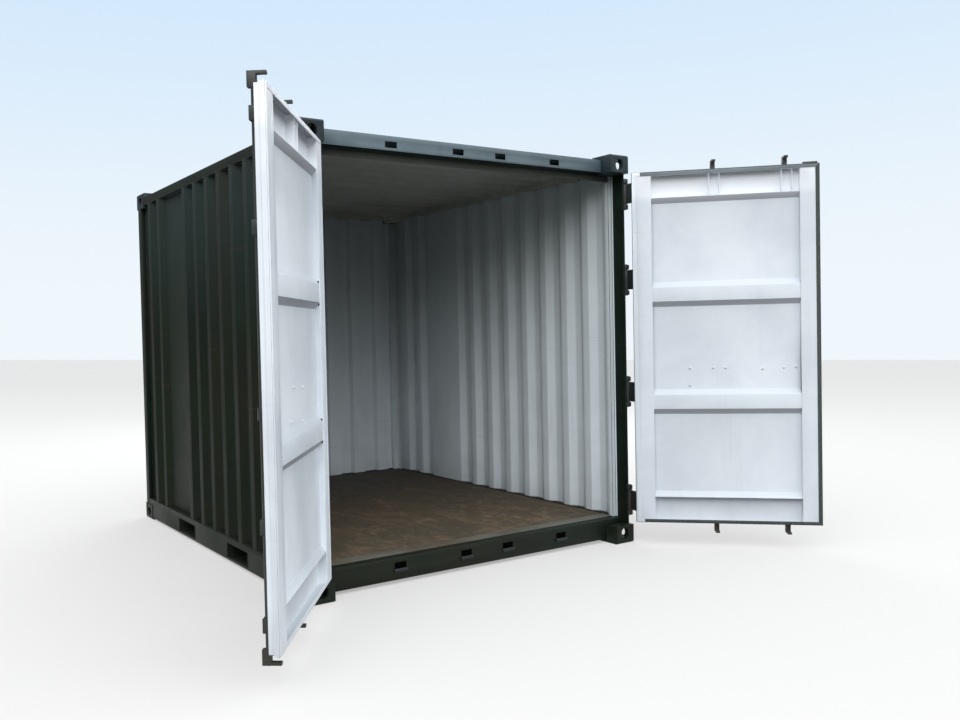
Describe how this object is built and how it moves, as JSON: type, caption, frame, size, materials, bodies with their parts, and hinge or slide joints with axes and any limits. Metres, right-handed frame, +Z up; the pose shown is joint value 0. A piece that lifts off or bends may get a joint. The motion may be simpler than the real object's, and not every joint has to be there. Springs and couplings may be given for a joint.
{
  "type": "shipping container",
  "caption": "Ten foot steel freight container with corrugated walls, plywood floor and two hinged end doors that stand open, each with two locking rods",
  "frame": {"origin": "centre of the rectangle of the four bottom corner apertures, on the plane that the bottom castings stand on", "axes": "+X points out through the doorway, +Z points up, +Y points to the side of the right hand door as seen from outside"},
  "size_m": [3.9849, 3.8699, 2.591],
  "materials": {
    "dark_green_steel": "satin, worn and chalky",
    "white_steel": "satin, scuffed",
    "worn_steel": "worn, paint gone, dusty",
    "plywood": "matt, walked on",
    "seal_rubber": "matt"
  },
  "bodies": {
    "container": {"bottom_corner_castings": "dark_green_steel", "top_corner_castings": "dark_green_steel", "header": "dark_green_steel", "sill": "dark_green_steel", "sill_keepers": "dark_green_steel", "end_top_rail": "dark_green_steel", "end_bottom_rail": "dark_green_steel", "end_wall": "dark_green_steel", "roof_sheet": "dark_green_steel", "cross_members": "dark_green_steel", "fork_pockets": "dark_green_steel", "right_bottom_rail": "dark_green_steel", "right_top_rail": "dark_green_steel", "right_side_wall": "dark_green_steel", "right_door_post": "dark_green_steel", "right_end_post": "dark_green_steel", "right_hinge_lugs": "dark_green_steel", "left_bottom_rail": "dark_green_steel", "left_top_rail": "dark_green_steel", "left_side_wall": "dark_green_steel", "left_door_post": "dark_green_steel", "left_end_post": "dark_green_steel", "left_hinge_lugs": "dark_green_steel", "plywood_floor": "plywood", "threshold_plate": "worn_steel"},
    "right_door": {"right_door_frame": "white_steel", "right_door_panel": "white_steel", "right_door_gasket": "seal_rubber", "right_hinge_blades": "dark_green_steel", "right_rod_guides": "dark_green_steel", "overlap_plate": "dark_green_steel"},
    "right_outer_lock": {"right_outer_rod": "dark_green_steel", "right_outer_handle": "dark_green_steel"},
    "right_inner_lock": {"right_inner_rod": "dark_green_steel", "right_inner_handle": "dark_green_steel"},
    "left_door": {"left_door_frame": "white_steel", "left_door_panel": "white_steel", "left_door_gasket": "seal_rubber", "left_hinge_blades": "dark_green_steel", "left_rod_guides": "dark_green_steel"},
    "left_outer_lock": {"left_outer_rod": "dark_green_steel", "left_outer_handle": "dark_green_steel"},
    "left_inner_lock": {"left_inner_rod": "dark_green_steel", "left_inner_handle": "dark_green_steel"}
  },
  "joints": [
    {"name": "right_door_swing", "type": "hinge", "parent": "container", "child": "right_door", "pos_m": [1.4755, 1.199, 1.305], "axis": [0, 0, 1], "range_deg": [-136.2, 133.8]},
    {"name": "left_door_swing", "type": "hinge", "parent": "container", "child": "left_door", "pos_m": [1.4755, -1.199, 1.305], "axis": [0, 0, -1], "range_deg": [-127.7, 142.3]},
    {"name": "right_outer_lock_turn", "type": "hinge", "parent": "right_door", "child": "right_outer_lock", "pos_m": [1.89654, 1.56004, 1.305], "axis": [0, 0, 1], "range_deg": [-100, 0]},
    {"name": "right_inner_lock_turn", "type": "hinge", "parent": "right_door", "child": "right_inner_lock", "pos_m": [2.20108, 1.87761, 1.305], "axis": [0, 0, 1], "range_deg": [-100, 0]},
    {"name": "left_outer_lock_turn", "type": "hinge", "parent": "left_door", "child": "left_outer_lock", "pos_m": [1.99671, -1.53359, 1.305], "axis": [0, 0, -1], "range_deg": [-100, 0]},
    {"name": "left_inner_lock_turn", "type": "hinge", "parent": "left_door", "child": "left_inner_lock", "pos_m": [2.36937, -1.82161, 1.305], "axis": [0, 0, -1], "range_deg": [-100, 0]}
  ]
}
